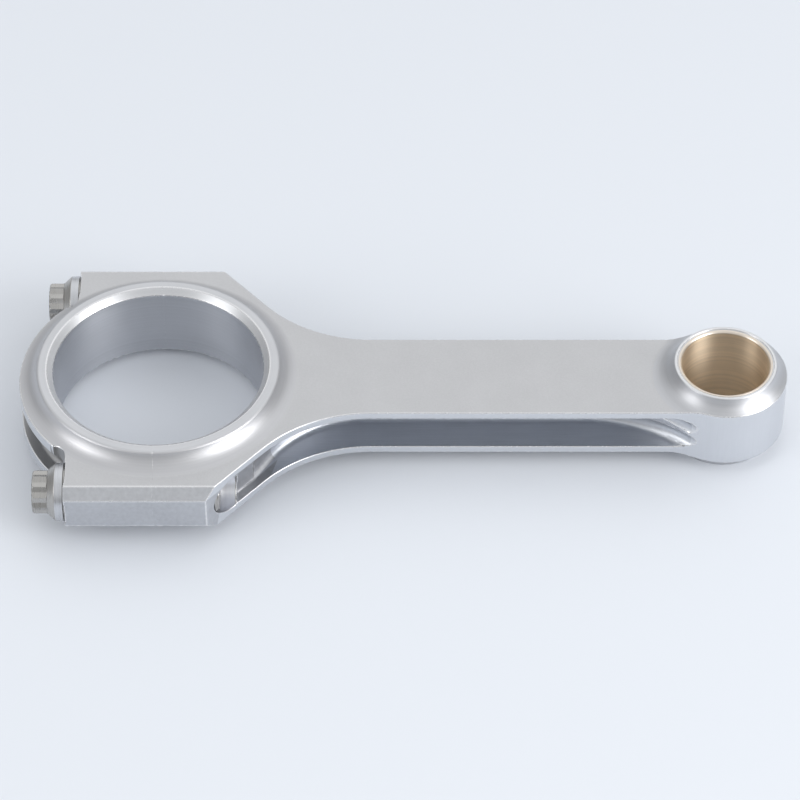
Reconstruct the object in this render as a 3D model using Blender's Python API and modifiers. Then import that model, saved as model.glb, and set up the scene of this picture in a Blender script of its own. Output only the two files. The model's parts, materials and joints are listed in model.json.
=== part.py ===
"""Connecting rod with a bolted cap, a pressed small-end bush, two cap screws and two dowel sleeves."""

import math

import bmesh
import bpy

MM = 0.001

# Big end, millimetres. The crank axis is Z and the rod runs along +X.
BORE_RADIUS = 28.26
BIG_END_WIDTH = 23.88
BORE_CHAMFER_WIDE = 1.75
BORE_CHAMFER_DEEP = 1.6
THRUST_RING_WIDE = 2.55
CROWN_WALL = 9.24
CROWN_RIB = 3.3
CROWN_GROOVE_DEPTH = 4.2
CROWN_GROOVE_FILLET = 1.5
CROWN_GROOVE_STOP = 1.0
BIG_COVE_RADIUS = 6.0
TANG_NOTCH_DEPTH = 1.3
TANG_NOTCH_WIDTH = 4.8
TANG_NOTCH_LEVEL = 5.8
TANG_CUTTER_RADIUS = 6.0

# Shoulders that hold the cap screws
DOWEL_SEAT_WALL = 0.94
SHOULDER_WALL = 7.9
SHOULDER_CHAMFER = 2.8
SHOULDER_LENGTH = 14.1
SEAT_DEPTH = 23.4
SEAT_CORNER = 3.5
SEAT_MARGIN = 1.65
SPOT_FACE_SINK = 0.2
SPOT_FACE_MARGIN = 0.7
HOLE_SPARE = 4.0
DRILL_POINT_ANGLE = 31.0

# Cap screws and dowel sleeves
SCREW_RADIUS = 5.2
SCREW_WAIST = 4.45
SCREW_LENGTH = 40.6
THREAD_LENGTH = 15.0
PILOT_LENGTH = 2.2
WAIST_TAPER = 1.0
TIP_CHAMFER = 1.0
FLANGE_RADIUS = 7.7
FLANGE_HEIGHT = 2.6
FLANGE_EDGE = 0.3
WASHER_FACE_HEIGHT = 0.4
WASHER_FACE_STEP = 0.6
CONE_HEIGHT = 1.7
HEAD_POINT_RADIUS = 5.85
HEAD_HEIGHT = 4.0
HEAD_CHAMFER = 0.5
HEAD_SLANT_ANGLE = 40.0
DOWEL_WALL = 0.6
DOWEL_LENGTH = 9.4

# Beam and side channels
CENTRE_DISTANCE = 152.4
FLAT_THICKNESS = 15.1
BEAM_WIDTH = 28.0
FLARE_ANGLE = 48.5
FLARE_RADIUS = 38.0
WEB_THICKNESS = 7.0
CHANNEL_HEIGHT = 10.6
CHANNEL_FILLET = 2.2
CHANNEL_FLARE_DEPTH = 5.8
CHANNEL_FLOOR_ANGLE = 57.0
CHANNEL_FLOOR_RADIUS = 31.0
POCKET_START = 21.5
POCKET_DEPTH = 4.2
POCKET_FILLET = 0.9
RUN_OUT_RADIUS = 42.0
RUN_OUT_REACH = 38.4
RUN_OUT_SWEEP = 52.0
SCALLOP_RADIUS = 2.4
SCALLOP_EXTRA = 4.0

# Small end
PIN_BORE_RADIUS = 11.77
BUSH_WALL = 0.95
BUSH_CHAMFER = 0.45
SMALL_END_WIDTH = 25.4
SMALL_END_RADIUS = 16.8
SMALL_LAND = 0.85
SMALL_COVE_RADIUS = 7.5
SMALL_BLEND_RADIUS = 30.0

# Clearances
FIT_GAP = 0.3
PRESS_GAP = 0.2

# Overlaps of the forms that are joined or cut
SINK = 0.05
COVE_FOOT = 0.6
FOOT_SINK = 0.8
CORE_SINK = 0.3
CUT_PAST = 1.0
SPARE = 2.0

BIG_STEPS = 96
SMALL_STEPS = 72
SCREW_STEPS = 36
COVE_STEPS = 6

CROWN_RADIUS = BORE_RADIUS + CROWN_WALL
RING_RADIUS = BORE_RADIUS + BORE_CHAMFER_WIDE + THRUST_RING_WIDE
FLAT_HALF = FLAT_THICKNESS / 2
BEAM_HALF = BEAM_WIDTH / 2
WEB_HALF = WEB_THICKNESS / 2
CHANNEL_HALF = CHANNEL_HEIGHT / 2
HOLE_RADIUS = SCREW_RADIUS + FIT_GAP
DOWEL_INNER = HOLE_RADIUS
DOWEL_OUTER = DOWEL_INNER + DOWEL_WALL
DOWEL_SEAT_RADIUS = DOWEL_OUTER + FIT_GAP
DOWEL_SEAT_DEPTH = DOWEL_LENGTH / 2 + FIT_GAP
SCREW_Y = BORE_RADIUS + DOWEL_SEAT_WALL + DOWEL_SEAT_RADIUS
SHOULDER_HALF = SCREW_Y + SHOULDER_WALL
SCREW_SEAT = SEAT_DEPTH - SPOT_FACE_SINK
HOLE_END = SCREW_LENGTH - SCREW_SEAT + HOLE_SPARE
HOLE_BACK = -SCREW_Y + HOLE_RADIUS
HOLE_AT_FLARE = SHOULDER_LENGTH + (SHOULDER_HALF + HOLE_BACK) / math.tan(math.radians(FLARE_ANGLE))
PAST_FLARE = -SHOULDER_HALF - 2 * SCREW_RADIUS
SPOT_FACE_RADIUS = FLANGE_RADIUS + SPOT_FACE_MARGIN
BUSH_OUTER = PIN_BORE_RADIUS + BUSH_WALL
BUSH_SEAT_RADIUS = BUSH_OUTER + PRESS_GAP
SMALL_LAND_RADIUS = BUSH_SEAT_RADIUS + SMALL_LAND
HEAD_TOTAL = WASHER_FACE_HEIGHT + FLANGE_HEIGHT + CONE_HEIGHT + HEAD_HEIGHT
RUN_OUT_START = CENTRE_DISTANCE - RUN_OUT_REACH
TALL_HALF = max(BIG_END_WIDTH, SMALL_END_WIDTH) / 2 + SPARE


def clear_scene():
    for item in list(bpy.data.objects):
        bpy.data.objects.remove(item, do_unlink=True)
    for group in list(bpy.data.collections):
        bpy.data.collections.remove(group)


def new_collection(name):
    group = bpy.data.collections.new(name)
    bpy.context.scene.collection.children.link(group)
    return group


def steel_material(name, colour, roughness):
    material = bpy.data.materials.new(name)
    material.use_nodes = True
    shader = material.node_tree.nodes["Principled BSDF"]
    shader.inputs["Base Color"].default_value = (*colour, 1.0)
    shader.inputs["Roughness"].default_value = roughness
    shader.inputs["Metallic"].default_value = 1.0
    return material


def arc(centre, radius, start, end, steps):
    """Points on an arc, angles in degrees."""
    points = []
    for index in range(steps + 1):
        angle = math.radians(start + (end - start) * index / steps)
        points.append((centre[0] + radius * math.cos(angle), centre[1] + radius * math.sin(angle)))
    return points


def cove(start, floor, radius, steps):
    """Hollow turned corner that leaves start steeply and runs out level at the height floor."""
    drop = start[1] - floor
    reach = math.sqrt(radius ** 2 - (radius - drop) ** 2)
    centre = (start[0] + reach, floor + radius)
    first = 180.0 + math.degrees(math.asin((radius - drop) / radius))
    return arc(centre, radius, first, 270.0, steps)


def finish_object(item, material):
    item.data.materials.clear()
    item.data.materials.append(material)


def as_cutter(item):
    item.hide_render = True
    item.display_type = "WIRE"
    return item


def turned(name, profile, steps, group, closed=False):
    """Round solid about Z. The profile runs down its outer side."""
    verts = [(radius * MM, 0.0, height * MM) for radius, height in profile]
    edges = [(index, index + 1) for index in range(len(verts) - 1)]
    if closed:
        edges.append((len(verts) - 1, 0))
    mesh = bpy.data.meshes.new(name)
    mesh.from_pydata(verts, edges, [])
    item = bpy.data.objects.new(name, mesh)
    group.objects.link(item)
    turn = item.modifiers.new("turn", "SCREW")
    turn.steps = steps
    turn.render_steps = steps
    turn.use_merge_vertices = True
    turn.merge_threshold = 0.000005
    turn.use_smooth_shade = True
    return item


def outline_solid(name, points, half_height, group, fillet=0.0):
    """Plan outline given a height, with round long edges where a fillet is asked for."""
    curve = bpy.data.curves.new(name, "CURVE")
    curve.dimensions = "2D"
    curve.fill_mode = "BOTH"
    curve.extrude = (half_height - fillet) * MM
    curve.bevel_depth = fillet * MM
    curve.bevel_resolution = 3
    curve.offset = -fillet * MM
    spline = curve.splines.new("POLY")
    spline.points.add(len(points) - 1)
    for point, place in zip(spline.points, points):
        point.co = (place[0] * MM, place[1] * MM, 0.0, 1.0)
    spline.use_cyclic_u = True
    drawn = bpy.data.objects.new(name + "_outline", curve)
    group.objects.link(drawn)
    depsgraph = bpy.context.evaluated_depsgraph_get()
    mesh = bpy.data.meshes.new_from_object(drawn.evaluated_get(depsgraph))
    bpy.data.objects.remove(drawn, do_unlink=True)
    bpy.data.curves.remove(curve)
    shape = bmesh.new()
    shape.from_mesh(mesh)
    bmesh.ops.remove_doubles(shape, verts=shape.verts, dist=0.000002)
    bmesh.ops.recalc_face_normals(shape, faces=shape.faces)
    shape.to_mesh(mesh)
    shape.free()
    mesh.name = name
    item = bpy.data.objects.new(name, mesh)
    group.objects.link(item)
    return item


def boolean(item, other, operation):
    step = item.modifiers.new(operation.lower() + "_" + other.name, "BOOLEAN")
    step.operation = operation
    step.solver = "EXACT"
    step.object = other


def place(item, x, y, z, turn=(0.0, 0.0, 0.0)):
    item.location = (x * MM, y * MM, z * MM)
    item.rotation_euler = turn
    return item


def flat_slab(group):
    """Beam thickness along the whole rod, with the slanted corners of the shoulders."""
    length = CENTRE_DISTANCE * 2
    mesh = bpy.data.meshes.new("flat_slab")
    shape = bmesh.new()
    bmesh.ops.create_cube(shape, size=1.0)
    size = (length * MM, 2 * (SHOULDER_HALF + SPARE) * MM, FLAT_THICKNESS * MM)
    bmesh.ops.scale(shape, vec=size, verts=shape.verts)
    long_edges = [edge for edge in shape.edges if abs(edge.verts[0].co.x - edge.verts[1].co.x) > 0.01]
    offset = (SHOULDER_CHAMFER + SPARE) * MM
    bmesh.ops.bevel(shape, geom=long_edges, offset=offset, offset_type="OFFSET", segments=1, affect="EDGES")
    shape.to_mesh(mesh)
    shape.free()
    item = bpy.data.objects.new("flat_slab", mesh)
    group.objects.link(item)
    return place(as_cutter(item), CENTRE_DISTANCE / 2, 0, 0)


def ringed_body(name, land_radius, width, cove_radius, steps, group):
    """Thicker round end with a hollow cove from its land down to the flats."""
    upper = cove((land_radius, width / 2), FLAT_HALF - SINK, cove_radius, COVE_STEPS)
    rim = upper[-1][0] + COVE_FOOT
    lower = [(point[0], -point[1]) for point in reversed(upper)]
    foot = FLAT_HALF - FOOT_SINK
    profile = [(0.0, width / 2), *upper, (rim, foot), (rim, -foot), *lower, (0.0, -width / 2)]
    item = turned(name, profile, steps, group)
    item.rotation_euler = (0.0, 0.0, math.pi / steps)
    return as_cutter(item)


def thickness_envelope(group):
    """Flats, big-end ring and small-end ring in one body."""
    envelope = flat_slab(group)
    big = ringed_body("big_end_ring", RING_RADIUS, BIG_END_WIDTH, BIG_COVE_RADIUS, BIG_STEPS, group)
    small = ringed_body(
        "small_end_ring", SMALL_LAND_RADIUS, SMALL_END_WIDTH, SMALL_COVE_RADIUS, SMALL_STEPS, group
    )
    small.location.x = CENTRE_DISTANCE * MM
    boolean(envelope, big, "UNION")
    boolean(envelope, small, "UNION")
    return envelope


def big_end_bore(group):
    reach = BIG_END_WIDTH / 2
    outer = BORE_RADIUS + 2 * BORE_CHAMFER_WIDE
    top = reach + BORE_CHAMFER_DEEP
    waist = reach - BORE_CHAMFER_DEEP
    profile = [(0, top), (outer, top), (BORE_RADIUS, waist), (BORE_RADIUS, -waist), (outer, -top), (0, -top)]
    item = turned("big_end_bore", profile, BIG_STEPS, group)
    item.rotation_euler = (0.0, 0.0, math.pi / BIG_STEPS)
    return as_cutter(item)


def small_end_bore(group):
    profile = [(0, TALL_HALF), (BUSH_SEAT_RADIUS, TALL_HALF), (BUSH_SEAT_RADIUS, -TALL_HALF), (0, -TALL_HALF)]
    item = turned("small_end_bore", profile, SMALL_STEPS, group)
    return place(as_cutter(item), CENTRE_DISTANCE, 0, 0)


def along_rod(item, x, side):
    return place(item, x, side * SCREW_Y, 0, (0.0, math.pi / 2, 0.0))


def rod_hole(name, side, group):
    """Dowel seat, tapped hole and drill point, breaking out into the channel end."""
    point = HOLE_END + HOLE_RADIUS * math.tan(math.radians(DRILL_POINT_ANGLE))
    profile = [
        (0, point),
        (HOLE_RADIUS, HOLE_END),
        (HOLE_RADIUS, DOWEL_SEAT_DEPTH),
        (DOWEL_SEAT_RADIUS, DOWEL_SEAT_DEPTH),
        (DOWEL_SEAT_RADIUS, -CUT_PAST),
        (0, -CUT_PAST),
    ]
    return along_rod(as_cutter(turned(name, profile, SCREW_STEPS, group)), 0, side)


def cap_hole(name, side, group):
    """Dowel seat, clearance hole and spot face for one screw."""
    profile = [
        (0, CUT_PAST),
        (DOWEL_SEAT_RADIUS, CUT_PAST),
        (DOWEL_SEAT_RADIUS, -DOWEL_SEAT_DEPTH),
        (HOLE_RADIUS, -DOWEL_SEAT_DEPTH),
        (HOLE_RADIUS, -SCREW_SEAT),
        (SPOT_FACE_RADIUS, -SCREW_SEAT),
        (SPOT_FACE_RADIUS, -CROWN_RADIUS),
        (0, -CROWN_RADIUS),
    ]
    return along_rod(as_cutter(turned(name, profile, SCREW_STEPS, group)), 0, side)


def tang_cutter(name, level, group):
    """Disc that mills the notch for a bearing shell's tang, where the bore meets the parting face."""
    radius = TANG_CUTTER_RADIUS
    half = TANG_NOTCH_WIDTH / 2
    item = turned(name, [(0, half), (radius, half), (radius, -half), (0, -half)], SCREW_STEPS, group)
    return place(
        as_cutter(item), 0, radius - BORE_RADIUS - TANG_NOTCH_DEPTH, level, (0.0, 0.0, math.pi / SCREW_STEPS)
    )


def rod_outline():
    """Half outline from the parting line to the small end, then its mirror image."""
    slope = math.radians(FLARE_ANGLE)
    meet = SHOULDER_LENGTH + (SHOULDER_HALF - BEAM_HALF) / math.tan(slope)
    flare_end = meet + FLARE_RADIUS * math.tan(slope / 2)
    flare = arc((flare_end, -BEAM_HALF - FLARE_RADIUS), FLARE_RADIUS, 90 + FLARE_ANGLE, 90, 14)
    rise = BEAM_HALF + SMALL_BLEND_RADIUS
    span = SMALL_END_RADIUS + SMALL_BLEND_RADIUS
    run = math.sqrt(span ** 2 - rise ** 2)
    lean = math.degrees(math.atan2(rise, run))
    blend = arc((CENTRE_DISTANCE - run, -rise), SMALL_BLEND_RADIUS, 90, lean, 7)
    eye = arc((CENTRE_DISTANCE, 0), SMALL_END_RADIUS, lean - 180, 0, 32)
    half = [(0, -SHOULDER_HALF), (SHOULDER_LENGTH, -SHOULDER_HALF), *flare, *blend, *eye[1:]]
    return half + [(x, -y) for x, y in reversed(half[:-1])]


def cap_outline():
    """Crown, two corner fillets and two flat screw seats."""
    wall = SCREW_Y - FLANGE_RADIUS - SEAT_MARGIN
    reach = math.sqrt(CROWN_RADIUS ** 2 - wall ** 2)
    corner = min(SEAT_CORNER, reach - SEAT_DEPTH - SINK)
    fillet = arc((-SEAT_DEPTH - corner, wall + corner), corner, 0, -90, 6)
    start = math.degrees(math.atan2(wall, -reach))
    crown = arc((0, 0), CROWN_RADIUS, start, 180, 24)
    half = [(0, SHOULDER_HALF), (-SEAT_DEPTH, SHOULDER_HALF), *fillet, *crown]
    return half + [(x, -y) for x, y in reversed(half[:-1])]


def crown_groove(group):
    """Groove round the crown between two ribs, open at the walls of the screw seats."""
    floor = CROWN_RADIUS - CROWN_GROOVE_DEPTH
    stop = SEAT_DEPTH + CROWN_GROOVE_STOP
    outside = CROWN_RADIUS + SPARE
    end = math.degrees(math.acos(-stop / floor))
    bottom = arc((0, 0), floor, end, 360 - end, 24)
    points = [(-stop, outside), *bottom, (-stop, -outside), (-outside, -outside), (-outside, outside)]
    return as_cutter(outline_solid("crown_groove", points, FLAT_HALF - CROWN_RIB, group, CROWN_GROOVE_FILLET))


def flare_side(x):
    """Where the straight part of the near flare lies."""
    return -SHOULDER_HALF + (x - SHOULDER_LENGTH) * math.tan(math.radians(FLARE_ANGLE))


def side_cutter(name, points, side, fillet, group):
    """Cutter of the channel's height from a plan outline of the near side, mirrored for the far side."""
    if side > 0:
        points = [(x, -y) for x, y in reversed(points)]
    return as_cutter(outline_solid(name, points, CHANNEL_HALF, group, fillet))


def channel_cutter(name, side, group):
    """Side channel: a floor that leaves the flare slowly, the straight web and the run-out."""
    slope = math.radians(CHANNEL_FLOOR_ANGLE)
    floor = HOLE_BACK + CHANNEL_FLARE_DEPTH
    lead_in = [(HOLE_AT_FLARE - run, floor - run * math.tan(slope)) for run in (2 * SPARE, SPARE)]
    meet = HOLE_AT_FLARE + (-WEB_HALF - floor) / math.tan(slope)
    turn_end = meet + CHANNEL_FLOOR_RADIUS * math.tan(slope / 2)
    centre = (turn_end, -WEB_HALF - CHANNEL_FLOOR_RADIUS)
    turn = arc(centre, CHANNEL_FLOOR_RADIUS, 90 + CHANNEL_FLOOR_ANGLE, 90, 12)
    run_out = arc((RUN_OUT_START, -WEB_HALF - RUN_OUT_RADIUS), RUN_OUT_RADIUS, 90, 90 - RUN_OUT_SWEEP, 14)
    points = [(lead_in[0][0], PAST_FLARE), *lead_in, *turn, *run_out, (run_out[-1][0], PAST_FLARE)]
    channel = side_cutter(name, points, side, CHANNEL_FILLET, group)
    reach = CENTRE_DISTANCE
    square = [(HOLE_AT_FLARE, -reach), (reach, -reach), (reach, reach), (HOLE_AT_FLARE, reach)]
    boolean(channel, as_cutter(outline_solid(name + "_start", square, TALL_HALF, group)), "INTERSECT")
    return channel


def pocket_cutter(name, side, group):
    """Shallow pocket along the flare from the screw hole to the square start of the channel."""
    end = HOLE_AT_FLARE + 2 * POCKET_FILLET
    points = [
        (POCKET_START, PAST_FLARE),
        (POCKET_START, flare_side(POCKET_START) + POCKET_DEPTH),
        (end, flare_side(end) + POCKET_DEPTH),
        (end, PAST_FLARE),
    ]
    return side_cutter(name, points, side, POCKET_FILLET, group)


def scallop_cutter(name, side, level, group):
    """Round-nosed pass that leaves a hollow band on the run-out."""
    reach = RUN_OUT_RADIUS + SCALLOP_EXTRA
    bpy.ops.mesh.primitive_torus_add(
        major_radius=(reach - SCALLOP_RADIUS) * MM,
        minor_radius=SCALLOP_RADIUS * MM,
        major_segments=128,
        minor_segments=16,
    )
    item = bpy.context.object
    item.name = name
    item.data.name = name
    for owner in list(item.users_collection):
        owner.objects.unlink(item)
    group.objects.link(item)
    return place(as_cutter(item), RUN_OUT_START, side * (WEB_HALF + reach), level)


def build_rod(parts, cutters, envelope, bore):
    rod = outline_solid("rod", rod_outline(), TALL_HALF, parts)
    boolean(rod, envelope, "INTERSECT")
    boolean(rod, bore, "DIFFERENCE")
    boolean(rod, small_end_bore(cutters), "DIFFERENCE")
    level = SCALLOP_RADIUS
    for label, side in (("front", -1), ("rear", 1)):
        boolean(rod, channel_cutter("channel_" + label, side, cutters), "DIFFERENCE")
        boolean(rod, pocket_cutter("pocket_" + label, side, cutters), "DIFFERENCE")
        boolean(rod, scallop_cutter("scallop_low_" + label, side, -level, cutters), "DIFFERENCE")
        boolean(rod, scallop_cutter("scallop_high_" + label, side, level, cutters), "DIFFERENCE")
        boolean(rod, rod_hole("rod_hole_" + label, side, cutters), "DIFFERENCE")
    boolean(rod, tang_cutter("rod_tang_notch", TANG_NOTCH_LEVEL, cutters), "DIFFERENCE")
    return rod


def build_cap(parts, cutters, envelope, bore):
    cap = outline_solid("rod_cap", cap_outline(), TALL_HALF, parts)
    boolean(cap, envelope, "INTERSECT")
    boolean(cap, bore, "DIFFERENCE")
    boolean(cap, crown_groove(cutters), "DIFFERENCE")
    for label, side in (("front", -1), ("rear", 1)):
        boolean(cap, cap_hole("cap_hole_" + label, side, cutters), "DIFFERENCE")
    boolean(cap, tang_cutter("cap_tang_notch", -TANG_NOTCH_LEVEL, cutters), "DIFFERENCE")
    return cap


def build_bush(parts):
    half = SMALL_END_WIDTH / 2 - PRESS_GAP
    wide = PIN_BORE_RADIUS + BUSH_CHAMFER
    waist = half - BUSH_CHAMFER
    profile = [
        (wide, half),
        (BUSH_OUTER, half),
        (BUSH_OUTER, -half),
        (wide, -half),
        (PIN_BORE_RADIUS, -waist),
        (PIN_BORE_RADIUS, waist),
    ]
    bush = turned("wrist_pin_bush", profile, SMALL_STEPS, parts, closed=True)
    return place(bush, CENTRE_DISTANCE, 0, 0)


def build_dowel(name, side, parts):
    half = DOWEL_LENGTH / 2
    profile = [(DOWEL_INNER, half), (DOWEL_OUTER, half), (DOWEL_OUTER, -half), (DOWEL_INNER, -half)]
    return along_rod(turned(name, profile, SCREW_STEPS, parts, closed=True), 0, side)


def head_round(name, group):
    """Round envelope that slants the corners at the end of a screw head."""
    top = HEAD_HEIGHT + CONE_HEIGHT
    wide = HEAD_POINT_RADIUS + SINK
    narrow = HEAD_POINT_RADIUS - HEAD_CHAMFER
    slant = (wide - narrow) * math.tan(math.radians(HEAD_SLANT_ANGLE))
    profile = [(0, top), (wide, top), (wide, -top / 2 + slant), (narrow, -top / 2), (0, -top / 2 - SINK)]
    return as_cutter(turned(name, profile, SCREW_STEPS, group))


def head_points(name, turn, group):
    """One of the two six-sided prisms that make a twelve-point head."""
    mesh = bpy.data.meshes.new(name)
    shape = bmesh.new()
    depth = HEAD_HEIGHT + CONE_HEIGHT
    bmesh.ops.create_cone(
        shape,
        cap_ends=True,
        segments=6,
        radius1=HEAD_POINT_RADIUS * MM,
        radius2=HEAD_POINT_RADIUS * MM,
        depth=depth * MM,
    )
    shape.to_mesh(mesh)
    shape.free()
    item = bpy.data.objects.new(name, mesh)
    group.objects.link(item)
    item.rotation_euler = (0.0, 0.0, turn)
    return as_cutter(item)


def build_screw(name, side, parts, cutters):
    """Waisted screw, its underside on the seat, with a washer face, a flange and a twelve-point head."""
    rim = -WASHER_FACE_HEIGHT
    shoulder = rim - FLANGE_HEIGHT
    neck = shoulder - CONE_HEIGHT
    tip = SCREW_LENGTH
    thread_start = tip - THREAD_LENGTH
    washer_face = FLANGE_RADIUS - WASHER_FACE_STEP
    core = HEAD_POINT_RADIUS * math.cos(math.pi / 6) - CORE_SINK
    core_end = neck - HEAD_HEIGHT + CORE_SINK
    profile = [
        (0, tip),
        (SCREW_RADIUS - TIP_CHAMFER, tip),
        (SCREW_RADIUS, tip - TIP_CHAMFER),
        (SCREW_RADIUS, thread_start),
        (SCREW_WAIST, thread_start - WAIST_TAPER),
        (SCREW_WAIST, PILOT_LENGTH + WAIST_TAPER),
        (SCREW_RADIUS, PILOT_LENGTH),
        (SCREW_RADIUS, 0),
        (washer_face, 0),
        (washer_face, rim),
        (FLANGE_RADIUS, rim),
        (FLANGE_RADIUS, shoulder + FLANGE_EDGE),
        (FLANGE_RADIUS - FLANGE_EDGE, shoulder),
        (HEAD_POINT_RADIUS + SINK, neck),
        (core, neck - SINK),
        (core, core_end),
        (0, core_end),
    ]
    screw = turned(name, profile, SCREW_STEPS, parts)
    middle = neck - HEAD_HEIGHT / 2 + CONE_HEIGHT / 2
    slant = head_round(name + "_slant", cutters)
    slant.parent = screw
    slant.location.z = middle * MM
    for index in range(2):
        star = head_points(name + "_points_" + str(index + 1), math.pi / 6 * index, cutters)
        star.parent = screw
        star.location.z = middle * MM
        boolean(star, slant, "INTERSECT")
        boolean(screw, star, "UNION")
    return along_rod(screw, -SCREW_SEAT, side)


def main():
    clear_scene()
    parts = new_collection("connecting_rod")
    cutters = new_collection("cutters")
    steel = steel_material("machined_steel", (0.56, 0.56, 0.57), 0.34)
    cap_steel = steel_material("cap_steel", (0.56, 0.56, 0.57), 0.34)
    bronze = steel_material("bush_bronze", (0.42, 0.31, 0.19), 0.28)
    screw_steel = steel_material("screw_steel", (0.47, 0.46, 0.45), 0.38)
    dowel_steel = steel_material("dowel_steel", (0.52, 0.52, 0.53), 0.3)

    envelope = thickness_envelope(cutters)
    bore = big_end_bore(cutters)
    rod = build_rod(parts, cutters, envelope, bore)
    cap = build_cap(parts, cutters, envelope, bore)
    bush = build_bush(parts)
    finish_object(rod, steel)
    finish_object(cap, cap_steel)
    finish_object(bush, bronze)
    pieces = [rod, cap, bush]
    for label, side in (("front", -1), ("rear", 1)):
        screw = build_screw("cap_bolt_" + label, side, parts, cutters)
        dowel = build_dowel("cap_dowel_" + label, side, parts)
        finish_object(screw, screw_steel)
        finish_object(dowel, dowel_steel)
        pieces += [screw, dowel]

    root = bpy.data.objects.new("connecting_rod_frame", None)
    parts.objects.link(root)
    middle = (CENTRE_DISTANCE + SMALL_END_RADIUS - max(CROWN_RADIUS, SCREW_SEAT + HEAD_TOTAL)) / 2
    place(root, -middle, 0, max(BIG_END_WIDTH, SMALL_END_WIDTH) / 2)
    for item in pieces + [other for other in cutters.objects if other.parent is None]:
        item.parent = root


main()
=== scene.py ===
"""Looks of the connecting rod: machined finishes, some of whose colours paint shade and light, broken edges, screw
threads, floor, light and camera.
"""
import json
import math

import bmesh
import bpy
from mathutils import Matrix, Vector


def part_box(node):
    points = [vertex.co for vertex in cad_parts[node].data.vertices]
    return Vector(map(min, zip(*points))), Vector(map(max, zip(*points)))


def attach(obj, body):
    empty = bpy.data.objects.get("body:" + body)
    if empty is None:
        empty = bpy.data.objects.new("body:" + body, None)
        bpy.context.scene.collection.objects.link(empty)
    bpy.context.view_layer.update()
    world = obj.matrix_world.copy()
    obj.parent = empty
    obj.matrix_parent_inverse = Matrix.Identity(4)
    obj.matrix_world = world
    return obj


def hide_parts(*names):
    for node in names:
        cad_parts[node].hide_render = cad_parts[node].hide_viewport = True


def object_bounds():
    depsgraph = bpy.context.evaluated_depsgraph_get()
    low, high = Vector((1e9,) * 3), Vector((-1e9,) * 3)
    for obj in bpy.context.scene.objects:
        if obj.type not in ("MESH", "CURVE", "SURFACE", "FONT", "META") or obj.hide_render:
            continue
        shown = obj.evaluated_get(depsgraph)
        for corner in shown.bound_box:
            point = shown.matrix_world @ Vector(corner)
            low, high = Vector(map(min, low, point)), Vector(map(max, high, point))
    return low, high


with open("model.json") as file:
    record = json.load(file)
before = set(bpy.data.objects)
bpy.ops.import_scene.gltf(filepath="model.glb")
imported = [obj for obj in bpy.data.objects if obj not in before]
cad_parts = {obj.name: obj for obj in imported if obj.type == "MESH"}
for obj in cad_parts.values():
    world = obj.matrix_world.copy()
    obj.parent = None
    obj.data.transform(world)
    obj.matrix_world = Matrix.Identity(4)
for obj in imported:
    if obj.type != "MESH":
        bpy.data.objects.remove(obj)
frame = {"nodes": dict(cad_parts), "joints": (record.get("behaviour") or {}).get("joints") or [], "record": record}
cad_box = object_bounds()

MM = 0.001
UPWARD = (0.0, 0.0, 1.0)

# Camera, from the photograph: its place, its tilt and its focal length
CAMERA_PLACE = Vector((-0.000874, -0.706083, 0.732559))
CAMERA_TILT = math.radians(44.379)
FOCAL_PIXELS = 3724.0
IMAGE_PIXELS = 800.0
SENSOR_WIDTH = 36.0
CLIP_START = 0.01

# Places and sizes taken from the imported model
JOINTS = {joint["name"]: joint for joint in frame["joints"]}
OPENINGS = {item["name"]: item["box_m"] for item in frame["record"]["physics"]["openings"]}
BIG_AXIS = (Vector(OPENINGS["big_end_bore"][0]) + Vector(OPENINGS["big_end_bore"][1])) / 2
BUSH_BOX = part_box("wrist_pin_bush")
SMALL_AXIS = (BUSH_BOX[0] + BUSH_BOX[1]) / 2
BUSH_OUTER = (BUSH_BOX[1].x - BUSH_BOX[0].x) / 2
CAP_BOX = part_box("rod_cap")
BIG_END_HALF = (CAP_BOX[1].z - CAP_BOX[0].z) / 2
SMALL_END_HALF = (cad_box[1].z - cad_box[0].z) / 2
MIDDLE_HEIGHT = (cad_box[0].z + cad_box[1].z) / 2
SCREW_Y = abs(JOINTS["front_bolt_turn"]["pos_m"][1])
SCREW_TURNS = JOINTS["front_bolt_turn"]["range_deg"][1] / 360
THREAD_PITCH = JOINTS["cap_slide"]["range_m"][1] / SCREW_TURNS

# Sizes by which the machined surfaces are told apart, with starts and ends measured from the big end's axis
RING_RADIUS = 32.56 * MM
SMALL_LAND_RADIUS = 13.77 * MM
SMALL_COVE_REACH = 23.0 * MM
FLAT_HALF = 7.55 * MM
CHANNEL_HALF = 5.36 * MM
CHANNEL_START = 21.4 * MM
CHANNEL_END = 150.0 * MM
POCKET_END = 30.0 * MM
FLARE_END = 60.0 * MM
BEAM_HALF = 13.95 * MM
SHOULDER_INNER = 40.0 * MM
GROOVE_HALF = 4.3 * MM
GROOVE_START = -24.3 * MM
SEAT_START = -23.0 * MM
SEAT_INNER = 8.4 * MM
SEAT_OUTER = 11.5 * MM
HOLE_RADIUS = 5.6 * MM
HOLE_DEPTH = 21.45 * MM
DOWEL_SEAT_RADIUS = 6.6 * MM
DOWEL_SEAT_DEPTH = 5.2 * MM
BUSH_BORE_RADIUS = 11.9 * MM
FLANGE_RIM = 7.2 * MM

# Margins for a face or point that lies on one of these surfaces
ON_SURFACE = 0.1 * MM
ON_PARTING = 0.05 * MM
FLAT_MARGIN = 0.2 * MM
BORE_MARGIN = 1.0 * MM
CHAMFER_DEPTH = 2.0 * MM

# Limits on the share of a face's normal that points up or, for parting faces and screws, along the rod
LEVEL_LEAN = 0.98
WALL_LEAN = 0.05
CHAMFER_LEAN = 0.3
SEAT_LEAN = 0.9
BUSH_WALL_LEAN = 0.1
PARTING_LEAN = 0.99
FLANGE_LEAN = 0.5

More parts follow.
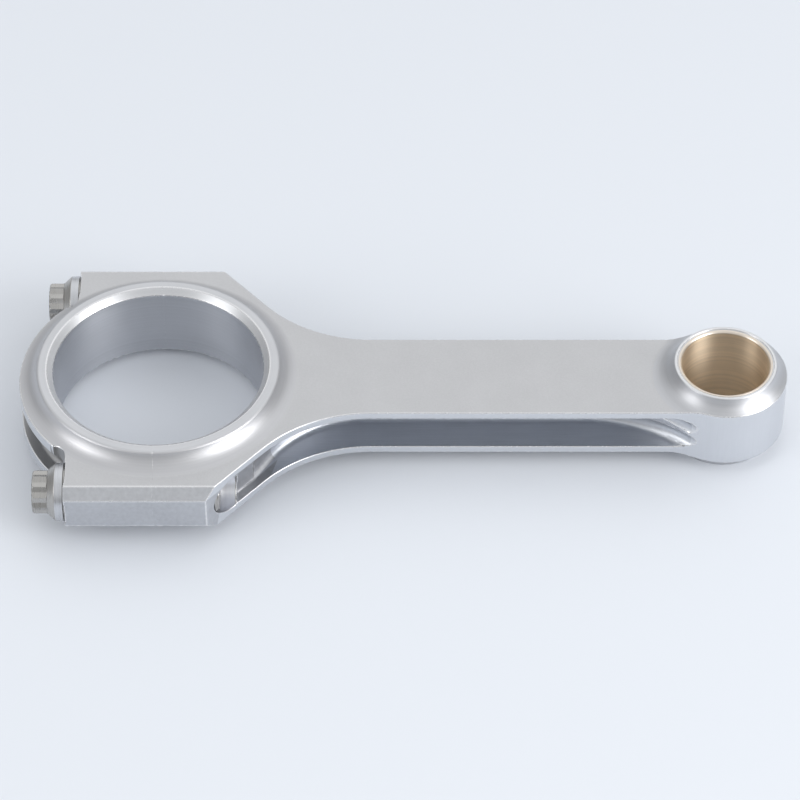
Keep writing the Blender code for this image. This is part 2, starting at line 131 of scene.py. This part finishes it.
# Threads of the cap screws
THREAD_LENGTH = 15.6 * MM
THREAD_OVERLAP = 0.1 * MM
THREAD_CREST = 5.44 * MM
THREAD_ROOT = 4.72 * MM
THREAD_LAND = 0.12
THREAD_LEAD = 1.0 * MM
THREAD_SIDES = 56
THREAD_ROWS = 8
THREAD_WELD = 0.002 * MM
SCREW_WELD = 0.005 * MM

# Joint round the pressed-in bush
BUSH_SEAT_RADIUS = 12.92 * MM
JOINT_SINK = 0.32 * MM
JOINT_HEIGHT = 0.3 * MM
JOINT_SIDES = 72

# Broken edges, and the soft rims of the turned lands, which keep the finish beside them
EDGE_WIDTH = 0.26 * MM
BUSH_EDGE = 0.15 * MM
SCREW_EDGE = 0.12 * MM
DOWEL_EDGE = 0.1 * MM
EDGE_SEGMENTS = 2
EDGE_ANGLE = math.radians(27.0)
HAIR_SHARE = 0.05
SOFT_WIDTH = 0.7 * MM
SOFT_SEGMENTS = 4
SMALL_SOFT_SHARE = 0.5
FINISH_BESIDE = -1
WELD_GAP = 0.03 * MM
FLAT_ANGLE = math.radians(0.6)

# Patterns in the metal: their scale, their detail and the values that they mostly keep between
PEENED_SCALE = 2600.0
BRUSHED_SCALE = 2600.0
TURNED_SCALE = 2200.0
COARSE_SCALE = 900.0
MOTTLE_SCALE = 90.0
PLAIN_DETAIL = 3.0
COARSE_DETAIL = 5.0
TURNED_DETAIL = 2.0
NOISE_LOW = 0.25
NOISE_HIGH = 0.75
GLOSS_SPREAD = 0.05
BUMP_STRENGTH = 0.6

# How much a pattern is squeezed along each axis, which draws it out along the axis with the small factor
ALONG_BEAM = (0.04, 1.0, 1.0)
UPRIGHT = (1.0, 1.0, 0.05)
ALONG_PARTING = (1.0, 0.06, 1.0)
ROUND_SCREW = (1.0, 0.04, 0.04)

# Turn of the highlights of a turned finish, as a share of a full turn
ACROSS_GROOVES = 0.25
ALONG_GROOVES = 0.0

# Floor
FLOOR_SIZE = 8.0
FLOOR_COLOUR = (0.76, 0.79, 0.84, 1.0)
FLOOR_ROUGHNESS = 0.6
FLOOR_GLOSS = 0.2

# Brightness of the room near the floor and overhead, with the heights between which it rises
ROOM_COLOUR = (0.97, 0.985, 1.0, 1.0)
ROOM_LOW = 0.40
ROOM_HIGH = 0.80
ROOM_RISE = (0.1, 0.7)

# Glow behind the part, with the closeness to its direction between which it rises
GLOW_DIRECTION = (0.25, 0.71, 0.66)
GLOW_STRENGTH = 0.26
GLOW_RISE = (0.4, 1.0)

# Lamps, with the distances from a lamp's middle between which it fades, as shares of its width
LAMPS = {
    "right_box": {"direction": (0.82, -0.46, 0.44), "distance": 1.3, "size": 1.4, "radiance": 4.4},
    "left_box": {"direction": (-0.84, -0.42, 0.44), "distance": 1.4, "size": 1.1, "radiance": 2.6},
}
LAMP_MIDDLE = (0.5, 0.5, 0.0)
LAMP_FADE = (0.05, 0.5)
WATTS_PER_RADIANCE = 4.0


def add_node(tree, kind, inputs=(), **settings):
    """New node with its settings made and its inputs set or linked."""
    node = tree.nodes.new(kind)
    for name, value in settings.items():
        setattr(node, name, value)
    for name, value in dict(inputs).items():
        if isinstance(value, bpy.types.NodeSocket):
            tree.links.new(value, node.inputs[name])
        else:
            node.inputs[name].default_value = value
    return node


def vector_math(tree, operation, *vectors, output="Vector"):
    """Result of one operation on vectors."""
    node = add_node(tree, "ShaderNodeVectorMath", enumerate(vectors), operation=operation)
    return node.outputs[output]


def place_of(tree):
    """The place on the part."""
    return add_node(tree, "ShaderNodeTexCoord").outputs["Object"]


def stretched(tree, factors):
    """The place on the part, scaled per axis so that a pattern in it runs in lines."""
    return vector_math(tree, "MULTIPLY", place_of(tree), factors)


def from_axis(tree, axis):
    """The place on the part, seen from an upright axis."""
    return vector_math(tree, "SUBTRACT", place_of(tree), axis)


def turned_about(tree, axis):
    """Distance from an upright axis, and height: a pattern in it runs round the axis."""
    offset = from_axis(tree, axis)
    height = add_node(tree, "ShaderNodeSeparateXYZ", {0: offset}).outputs["Z"]
    level = vector_math(tree, "MULTIPLY", offset, (1.0, 1.0, 0.0))
    radius = vector_math(tree, "LENGTH", level, output="Value")
    return add_node(tree, "ShaderNodeCombineXYZ", {0: radius, 2: height}).outputs["Vector"]


def round_axis(tree, axis):
    """Direction of turning about an upright axis."""
    return vector_math(tree, "CROSS_PRODUCT", UPWARD, from_axis(tree, axis))


def noise(tree, vector, scale, detail=PLAIN_DETAIL):
    """Random pattern in a place."""
    inputs = {"Vector": vector, "Scale": scale, "Detail": detail}
    return add_node(tree, "ShaderNodeTexNoise", inputs).outputs["Fac"]


def spread(tree, value, low, high):
    """A pattern's middle half of values, spread over a range."""
    limits = {"From Min": NOISE_LOW, "From Max": NOISE_HIGH, "To Min": low, "To Max": high}
    return add_node(tree, "ShaderNodeMapRange", {"Value": value, **limits}).outputs["Result"]


def smooth(tree, value, start, end, low, high):
    """A value eased from low to high between two limits."""
    inputs = {"Value": value, "From Min": start, "From Max": end, "To Min": low, "To Max": high}
    node = add_node(tree, "ShaderNodeMapRange", inputs, interpolation_type="SMOOTHSTEP")
    return node.outputs["Result"]


def peened(tree):
    """Fine even dimples."""
    return noise(tree, place_of(tree), PEENED_SCALE)


def coarse(tree):
    """Rougher, larger dimples."""
    return noise(tree, place_of(tree), COARSE_SCALE, COARSE_DETAIL)


def brushed(factors):
    """Maker of lines along the axis whose factor is small."""
    return lambda tree: noise(tree, stretched(tree, factors), BRUSHED_SCALE)


def turned(axis, scale):
    """Maker of lines round an upright axis."""
    return lambda tree: noise(tree, turned_about(tree, axis), scale, TURNED_DETAIL)


def metal(name, colour, roughness, pattern, depth=0.004, tone=0.05):
    """Metal with a fine pattern in its colour, gloss and height, in millimetres, and a faint mottle."""
    material = bpy.data.materials.new(name)
    material.use_nodes = True
    tree = material.node_tree
    shader = tree.nodes["Principled BSDF"]
    shader.inputs["Metallic"].default_value = 1.0
    grain = pattern(tree)
    mottle = noise(tree, place_of(tree), MOTTLE_SCALE)
    fine = spread(tree, grain, 1 - tone, 1 + tone)
    broad = spread(tree, mottle, 1 - tone / 2, 1 + tone / 2)
    shade = add_node(tree, "ShaderNodeMath", {0: fine, 1: broad}, operation="MULTIPLY").outputs["Value"]
    tint = add_node(tree, "ShaderNodeVectorMath", {0: colour, "Scale": shade}, operation="SCALE")
    gloss = spread(tree, grain, roughness - GLOSS_SPREAD, roughness + GLOSS_SPREAD)
    relief = {"Height": grain, "Strength": BUMP_STRENGTH, "Distance": depth * MM}
    bump = add_node(tree, "ShaderNodeBump", relief)
    tree.links.new(tint.outputs["Vector"], shader.inputs["Base Color"])
    tree.links.new(gloss, shader.inputs["Roughness"])
    tree.links.new(bump.outputs["Normal"], shader.inputs["Normal"])
    return material


def turned_metal(
    name, colour, roughness, axis, streak=0.6, scale=TURNED_SCALE, lay=ACROSS_GROOVES, **details
):
    """Metal turned about an upright axis, with highlights drawn out across its grooves or along them."""
    material = metal(name, colour, roughness, turned(axis, scale), **details)
    tree = material.node_tree
    shader = tree.nodes["Principled BSDF"]
    shader.inputs["Anisotropic"].default_value = streak
    shader.inputs["Anisotropic Rotation"].default_value = lay
    tree.links.new(round_axis(tree, axis), shader.inputs["Tangent"])
    return material


# Finishes of the machined surfaces: colour, roughness, and pattern or axis of turning. Some colours also paint
# shade and light, as the notes beside them say
FINISHES = {
    "flat": metal("peened_flat", (0.58, 0.58, 0.59), 0.42, peened),
    "side": metal("milled_side", (0.71, 0.725, 0.755), 0.36, brushed(UPRIGHT), depth=0.002, tone=0.02),
    "shoulder": metal("sawn_shoulder", (0.54, 0.55, 0.575), 0.42, coarse, tone=0.08),
    "ground": metal("ground_parting_face", (0.66, 0.66, 0.66), 0.3, brushed(ALONG_PARTING)),
    "ring": turned_metal(
        "turned_ring", (0.63, 0.635, 0.655), 0.40, BIG_AXIS, streak=0.4, lay=ALONG_GROOVES
    ),
    "cove": turned_metal("turned_cove", (0.575, 0.575, 0.59), 0.42, BIG_AXIS, streak=0.15, tone=0.03),
    "small_ring": turned_metal("turned_small_ring", (0.78, 0.785, 0.80), 0.36, SMALL_AXIS),
    "small_cove": turned_metal(
        "turned_small_cove", (0.58, 0.585, 0.605), 0.42, SMALL_AXIS, streak=0.15, tone=0.03
    ),
    "chamfer": turned_metal("bright_chamfer", (0.70, 0.705, 0.72), 0.38, BIG_AXIS),
    "bore": turned_metal("honed_bore", (0.56, 0.575, 0.61), 0.42, BIG_AXIS, streak=0.8, scale=1500.0),
    "channel": metal("milled_channel", (0.58, 0.60, 0.64), 0.36, brushed(ALONG_BEAM)),
    # The pocket's darker colour paints the shade under the flange lip; its coarse pattern is the rough milling
    "pocket": metal("milled_pocket_painted_shade", (0.42, 0.425, 0.445), 0.4, coarse, tone=0.1),
    # Crown groove and the walls round the screw seats: a dark colour that paints the shade in these recesses, on a
    # brushed grain
    "groove": metal("crown_groove", (0.40, 0.40, 0.405), 0.4, brushed(ROUND_SCREW)),
    # The bright bluish colour of the screw holes paints the pale light reflected in their walls
    "hole": metal("drilled_hole_painted_light", (0.80, 0.81, 0.85), 0.36, brushed(ROUND_SCREW)),
    "edge": metal("broken_edge", (0.78, 0.78, 0.79), 0.26, coarse, depth=0.001, tone=0.02),
    "bronze": turned_metal(
        "bush_bronze", (0.80, 0.67, 0.51), 0.52, SMALL_AXIS, streak=0.9, scale=1300.0, depth=0.03, tone=0.1
    ),
    # The paler bronze on the bush's ends and chamfers paints their highlight; the bush is one bronze
    "bush_end": turned_metal("bush_end_painted_highlight", (0.82, 0.74, 0.65), 0.34, SMALL_AXIS),
    "screw": metal("screw_steel", (0.46, 0.45, 0.435), 0.28, brushed(ROUND_SCREW)),
    # The lighter bluish colour on each flange rim paints the reflection of the floor in front; the screw is one
    # steel
    "flange": metal("screw_flange_painted_reflection", (0.60, 0.61, 0.635), 0.3, brushed(ROUND_SCREW)),
    "dowel": metal("dowel_steel", (0.60, 0.60, 0.61), 0.28, brushed(ROUND_SCREW)),
}
BODY_ZONES = [
    "flat", "side", "shoulder", "ground", "ring", "cove", "small_ring", "small_cove",
    "chamfer", "bore", "channel", "pocket", "groove", "hole", "edge",
]


def axis_distance(place, axis):
    """Distance of a place from the upright axis of one of the ends."""
    return math.hypot(place.x - axis.x, place.y)


def screw_distance(place):
    """Distance of a place from the axis of the nearer screw."""
    return math.hypot(abs(place.y) - SCREW_Y, place.z - MIDDLE_HEIGHT)


def big_end_zone(radius, level, lean):
    """Zone of a face on the turned big end, or nothing outside it."""
    if lean > LEVEL_LEAN and level > BIG_END_HALF - ON_SURFACE:
        return "ring"
    if radius < RING_RADIUS - BORE_MARGIN:
        chamfered = level > BIG_END_HALF - CHAMFER_DEPTH and lean > CHAMFER_LEAN
        return "chamfer" if chamfered else "bore"
    if level > FLAT_HALF - FLAT_MARGIN and WALL_LEAN < lean < LEVEL_LEAN:
        return "cove"
    return None


def small_end_zone(radius, level, lean):
    """Zone of a face on the turned small end, or nothing outside it."""
    if radius > SMALL_COVE_REACH or level < FLAT_HALF - FLAT_MARGIN:
        return None
    if lean > LEVEL_LEAN:
        return "small_ring" if level > BIG_END_HALF else None
    return "small_cove" if lean > WALL_LEAN else None


def in_hole(centre, along):
    """Whether a face lies in a screw's hole or in the wider seat of its dowel."""
    limit = DOWEL_SEAT_RADIUS if abs(along) < DOWEL_SEAT_DEPTH else HOLE_RADIUS
    return screw_distance(centre) < limit and abs(along) < HOLE_DEPTH


def in_seat(place, along):
    """Whether a place lies round a screw head, where the cutter of its seat bites into the crown."""
    return along < SEAT_START and SEAT_INNER < screw_distance(place) < SEAT_OUTER


def in_channel(centre, along, level):
    """Whether a face lies in a side channel of the beam or of the flare."""
    if not CHANNEL_START < along < CHANNEL_END or level > CHANNEL_HALF:
        return False
    return abs(centre.y) < BEAM_HALF or along < FLARE_END


def body_zone(centre, normal):
    """The machined surface that a face of the rod or cap belongs to."""
    along = centre.x - BIG_AXIS.x
    level = abs(centre.z - MIDDLE_HEIGHT)
    lean = abs(normal.z)
    if abs(along) < ON_PARTING and abs(normal.x) > PARTING_LEAN:
        return "ground"
    if in_hole(centre, along):
        return "hole"
    if along > FLARE_END:
        zone = small_end_zone(axis_distance(centre, SMALL_AXIS), level, lean)
    else:
        zone = big_end_zone(axis_distance(centre, BIG_AXIS), level, lean)
    if zone:
        return zone
    # The crown groove and the seat walls take the colour that paints their shade
    in_groove = along < GROOVE_START and level < GROOVE_HALF
    if in_groove or (in_seat(centre, along) and lean < SEAT_LEAN):
        return "groove"
    if in_channel(centre, along, level):
        # The pocket's darker colour paints the shade under the flange lip
        return "pocket" if along < POCKET_END else "channel"
    if lean > LEVEL_LEAN:
        return "flat"
    return "shoulder" if abs(centre.y) > SHOULDER_INNER and along < CHANNEL_START else "side"


def bush_zone(centre, normal):
    """The bush's bearing wall, or its ends and chamfers, whose paler bronze paints their highlight."""
    inside = axis_distance(centre, SMALL_AXIS) < BUSH_BORE_RADIUS
    return "bronze" if inside and abs(normal.z) < BUSH_WALL_LEAN else "bush_end"


def screw_zone(centre, normal):
    """The rim of a screw's flange, whose lighter bluish colour paints the floor's reflection, or the rest of the
    screw.
    """
    rim = screw_distance(centre) > FLANGE_RIM and abs(normal.x) < FLANGE_LEAN
    return "flange" if rim else "screw"


def dowel_zone(centre, normal):
    """The dowels have one finish all over."""
    return "dowel"


def welded_numbers(mesh):
    """Number of every point, where points that lie together share one."""
    shape = bmesh.new()
    shape.from_mesh(mesh)
    merged = bmesh.ops.find_doubles(shape, verts=shape.verts, dist=WELD_GAP)["targetmap"]
    numbers = list(range(len(mesh.vertices)))
    for point, target in merged.items():
        numbers[point.index] = target.index
    shape.free()
    return numbers


def sharp_edges(mesh, numbers):
    """Pairs of welded points between which two faces meet at an angle."""
    normals = {}
    for face in mesh.polygons:
        corners = [numbers[index] for index in face.vertices]
        if len(set(corners)) < len(corners):
            continue
        for start, end in zip(corners, corners[1:] + corners[:1]):
            normals.setdefault(frozenset((start, end)), []).append(face.normal)
    return {
        pair for pair, sides in normals.items()
        if len(sides) == 2 and sides[0].angle(sides[1], 0.0) > EDGE_ANGLE
    }


def on_rim(point, axis, radius, half):
    """Whether a point lies on the rim of a turned land."""
    level = abs(point.z - MIDDLE_HEIGHT)
    return abs(axis_distance(point, axis) - radius) < ON_SURFACE and abs(level - half) < ON_SURFACE


def soft_share(point):
    """How softly the rim of a turned land is rounded at a point, or nothing elsewhere."""
    if on_rim(point, BIG_AXIS, RING_RADIUS, BIG_END_HALF):
        return 1.0
    if on_rim(point, SMALL_AXIS, SMALL_LAND_RADIUS, SMALL_END_HALF):
        return SMALL_SOFT_SHARE
    return 0.0


def mark_edges(mesh):
    """Bevel weights: soft rims of the turned lands, other sharp edges, and hair-fine ones."""
    numbers = welded_numbers(mesh)
    sharp = sharp_edges(mesh, numbers)
    broken = mesh.attributes.new("broken_edge", "FLOAT", "EDGE")
    soft = mesh.attributes.new("soft_edge", "FLOAT", "EDGE")
    for edge in mesh.edges:
        if frozenset(numbers[index] for index in edge.vertices) not in sharp:
            continue
        ends = [mesh.vertices[index].co for index in edge.vertices]
        softness = min(soft_share(end) for end in ends)
        if softness > 0.0:
            soft.data[edge.index].value = softness
            continue
        parting = all(abs(end.x - BIG_AXIS.x) < WELD_GAP for end in ends)
        seated = all(in_seat(end, end.x - BIG_AXIS.x) for end in ends)
        broken.data[edge.index].value = HAIR_SHARE if parting or seated else 1.0


def add_bevel(item, weight, width, segments, slot):
    """Rounds the edges that carry a weight, in the finish of a material slot."""
    bevel = item.modifiers.new(weight, "BEVEL")
    bevel.limit_method = "WEIGHT"
    bevel.edge_weight = weight
    bevel.width = width
    bevel.segments = segments
    bevel.use_clamp_overlap = False
    bevel.material = slot


def break_edges(item, slot, width):
    """Welds and flattens the facets, then rounds the marked edges and evens the shading."""
    mesh = item.data
    if "custom_normal" in mesh.attributes:
        mesh.attributes.remove(mesh.attributes["custom_normal"])
    mesh.shade_smooth()
    mark_edges(mesh)
    weld = item.modifiers.new("weld", "WELD")
    weld.merge_threshold = WELD_GAP
    flatten = item.modifiers.new("flatten", "DECIMATE")
    flatten.decimate_type = "DISSOLVE"
    flatten.angle_limit = FLAT_ANGLE
    flatten.delimit = {"MATERIAL"}
    add_bevel(item, "soft_edge", SOFT_WIDTH, SOFT_SEGMENTS, FINISH_BESIDE)
    add_bevel(item, "broken_edge", width, EDGE_SEGMENTS, slot)
    even = item.modifiers.new("even", "WEIGHTED_NORMAL")
    even.keep_sharp = True


def dress(item, zones, zone_of_face, edge_zone, edge_width=EDGE_WIDTH):
    """Gives each face the finish of its zone, and breaks the edges."""
    mesh = item.data
    mesh.materials.clear()
    for zone in zones:
        mesh.materials.append(FINISHES[zone])
    for face in mesh.polygons:
        face.material_index = zones.index(zone_of_face(face.center, face.normal))
    break_edges(item, zones.index(edge_zone), edge_width)


def new_piece(name, shape):
    """Object in the scene from a finished bmesh."""
    mesh = bpy.data.meshes.new(name)
    shape.to_mesh(mesh)
    shape.free()
    item = bpy.data.objects.new(name, mesh)
    bpy.context.scene.collection.objects.link(item)
    return item


def fill_holes(shape):
    """Closes every open rim of a bmesh."""
    bmesh.ops.holes_fill(shape, edges=[edge for edge in shape.edges if edge.is_boundary], sides=0)


def screw_without_thread(name, node, cut):
    """Head and shank of a packed screw, closed where its thread begins."""
    shape = bmesh.new()
    shape.from_mesh(node.data)
    bmesh.ops.remove_doubles(shape, verts=shape.verts, dist=SCREW_WELD)
    geometry = list(shape.verts) + list(shape.edges) + list(shape.faces)
    bmesh.ops.bisect_plane(
        shape, geom=geometry, plane_co=(cut, 0, 0), plane_no=(1, 0, 0), clear_outer=True
    )
    fill_holes(shape)
    return new_piece(name, shape)


def thread_radius(turn, run, length):
    """Radius of the thread: flanks, narrow crest and root, and a lead at both ends."""
    rise = abs(turn % 1.0 - 0.5) * 2
    flank = min(max((rise - THREAD_LAND) / (1 - 2 * THREAD_LAND), 0.0), 1.0)
    lead = min(run, length - run) / THREAD_LEAD
    return THREAD_ROOT + (THREAD_CREST - THREAD_ROOT) * min(flank, lead)


def thread_points(shape, start, end, axis_y):
    """Rows of points round a screw that follow the helix and stop at both ends of the thread."""
    length = end - start
    rows = math.ceil(length / THREAD_PITCH + 1) * THREAD_ROWS
    grid = []
    for row in range(rows + 1):
        turn = row / THREAD_ROWS - 1
        ring = []
        for side in range(THREAD_SIDES):
            angle = math.tau * side / THREAD_SIDES
            run = min(max((turn + side / THREAD_SIDES) * THREAD_PITCH, 0.0), length)
            radius = thread_radius(turn, run, length)
            across = axis_y + radius * math.cos(angle)
            height = MIDDLE_HEIGHT + radius * math.sin(angle)
            ring.append(shape.verts.new((start + run, across, height)))
        grid.append(ring)
    return grid


def add_thread_faces(shape, grid):
    """Faces between the rows, whose last side joins on to the row one turn further along."""
    for row in range(len(grid) - 1):
        for side in range(THREAD_SIDES):
            after = (side + 1) % THREAD_SIDES
            ahead = row + THREAD_ROWS if after == 0 else row
            if ahead + 1 < len(grid):
                shape.faces.new((
                    grid[row][side], grid[ahead][after], grid[ahead + 1][after], grid[row + 1][side]
                ))


def add_thread(name, start, end, axis_y):
    """Right-hand thread along X, closed at both ends."""
    shape = bmesh.new()
    add_thread_faces(shape, thread_points(shape, start, end, axis_y))
    bmesh.ops.remove_doubles(shape, verts=shape.verts, dist=THREAD_WELD)
    bmesh.ops.dissolve_degenerate(shape, edges=shape.edges, dist=THREAD_WELD)
    fill_holes(shape)
    bmesh.ops.recalc_face_normals(shape, faces=shape.faces)
    thread = new_piece(name, shape)
    thread.data.shade_smooth()
    return thread


def add_screw(side, sign):
    """Screw with a real thread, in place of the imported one."""
    node = frame["nodes"]["cap_bolt_" + side]
    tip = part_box(node.name)[1].x
    start = tip - THREAD_LENGTH
    screw = screw_without_thread("cap_screw_" + side, node, start + THREAD_OVERLAP)
    dress(screw, ["screw", "flange"], screw_zone, "screw", SCREW_EDGE)
    thread = add_thread("cap_screw_thread_" + side, start, tip, sign * SCREW_Y)
    thread.data.materials.append(FINISHES["screw"])
    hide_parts(node.name)
    for piece in (screw, thread):
        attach(piece, side + "_bolt")


def add_press_joint(name, direction):
    """Ring of metal that closes the joint between the bush and the small end, as pressing in does."""
    outer = SMALL_END_HALF - JOINT_SINK
    inner = outer - JOINT_HEIGHT
    corners = [
        (BUSH_OUTER, outer), (BUSH_SEAT_RADIUS, outer), (BUSH_SEAT_RADIUS, inner), (BUSH_OUTER, inner)
    ]
    shape = bmesh.new()
    rings = []
    for side in range(JOINT_SIDES):
        angle = math.tau * side / JOINT_SIDES
        ring = []
        for radius, level in corners:
            along = SMALL_AXIS.x + radius * math.cos(angle)
            height = MIDDLE_HEIGHT + direction * level
            ring.append(shape.verts.new((along, radius * math.sin(angle), height)))
        rings.append(ring)
    for ring, after in zip(rings, rings[1:] + rings[:1]):
        for corner in range(len(corners)):
            following = (corner + 1) % len(corners)
            shape.faces.new((ring[corner], ring[following], after[following], after[corner]))
    bmesh.ops.recalc_face_normals(shape, faces=shape.faces)
    joint = new_piece(name, shape)
    joint.data.materials.append(FINISHES["small_ring"])
    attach(joint, "rod")


def add_floor():
    """Plain pale floor under the part."""
    bpy.ops.mesh.primitive_plane_add(size=FLOOR_SIZE, location=(0.0, 0.0, cad_box[0].z))
    floor = bpy.context.object
    floor.name = "floor"
    material = bpy.data.materials.new("pale_floor")
    material.use_nodes = True
    shader = material.node_tree.nodes["Principled BSDF"]
    shader.inputs["Base Color"].default_value = FLOOR_COLOUR
    shader.inputs["Roughness"].default_value = FLOOR_ROUGHNESS
    shader.inputs["Specular IOR Level"].default_value = FLOOR_GLOSS
    floor.data.materials.append(material)


def add_softbox(name, direction, distance, size, radiance):
    """Square lamp that faces the part from a direction, even in its middle and dim at its rim."""
    lamp = bpy.data.lights.new(name, "AREA")
    lamp.shape = "SQUARE"
    lamp.size = size
    lamp.energy = WATTS_PER_RADIANCE * radiance * size ** 2
    lamp.use_nodes = True
    tree = lamp.node_tree
    place = add_node(tree, "ShaderNodeNewGeometry").outputs["Parametric"]
    offset = vector_math(tree, "DISTANCE", place, LAMP_MIDDLE, output="Value")
    glow = smooth(tree, offset, *LAMP_FADE, 1.0, 0.0)
    tree.links.new(glow, tree.nodes["Emission"].inputs["Strength"])
    item = bpy.data.objects.new(name, lamp)
    bpy.context.scene.collection.objects.link(item)
    towards = Vector(direction).normalized()
    item.location = towards * distance
    item.rotation_euler = towards.to_track_quat("Z", "Y").to_euler()


def add_light():
    """A room that is brighter overhead and behind the part, and a lamp on each side in front of it."""
    world = bpy.data.worlds.new("studio")
    bpy.context.scene.world = world
    world.use_nodes = True
    tree = world.node_tree
    background = tree.nodes["Background"]
    background.inputs["Color"].default_value = ROOM_COLOUR
    direction = add_node(tree, "ShaderNodeTexCoord").outputs["Generated"]
    facing = vector_math(tree, "DOT_PRODUCT", direction, GLOW_DIRECTION, output="Value")
    height = add_node(tree, "ShaderNodeSeparateXYZ", {0: direction}).outputs["Z"]
    wall = smooth(tree, height, *ROOM_RISE, ROOM_LOW, ROOM_HIGH)
    glow = smooth(tree, facing, *GLOW_RISE, 0.0, GLOW_STRENGTH)
    level = add_node(tree, "ShaderNodeMath", {0: wall, 1: glow}, operation="ADD")
    tree.links.new(level.outputs["Value"], background.inputs["Strength"])
    for name, settings in LAMPS.items():
        add_softbox(name, **settings)


def add_camera():
    """Camera at the photograph's viewing angle."""
    lens = bpy.data.cameras.new("camera")
    lens.sensor_width = SENSOR_WIDTH
    lens.lens = SENSOR_WIDTH * FOCAL_PIXELS / IMAGE_PIXELS
    lens.clip_start = CLIP_START
    item = bpy.data.objects.new("camera", lens)
    bpy.context.scene.collection.objects.link(item)
    item.location = CAMERA_PLACE
    item.rotation_euler = (CAMERA_TILT, 0.0, 0.0)
    bpy.context.scene.camera = item


def main():
    """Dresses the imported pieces, adds the rest and sets the stage."""
    nodes = frame["nodes"]
    for name in ("rod", "rod_cap"):
        dress(nodes[name], BODY_ZONES, body_zone, "edge")
    dress(nodes["wrist_pin_bush"], ["bronze", "bush_end"], bush_zone, "bush_end", BUSH_EDGE)
    add_press_joint("bush_joint_upper", 1)
    add_press_joint("bush_joint_lower", -1)
    for side, sign in (("front", -1), ("rear", 1)):
        dress(nodes["cap_dowel_" + side], ["dowel"], dowel_zone, "dowel", DOWEL_EDGE)
        add_screw(side, sign)
    add_floor()
    add_light()
    add_camera()
    bpy.context.scene.view_settings.view_transform = "Standard"


main()
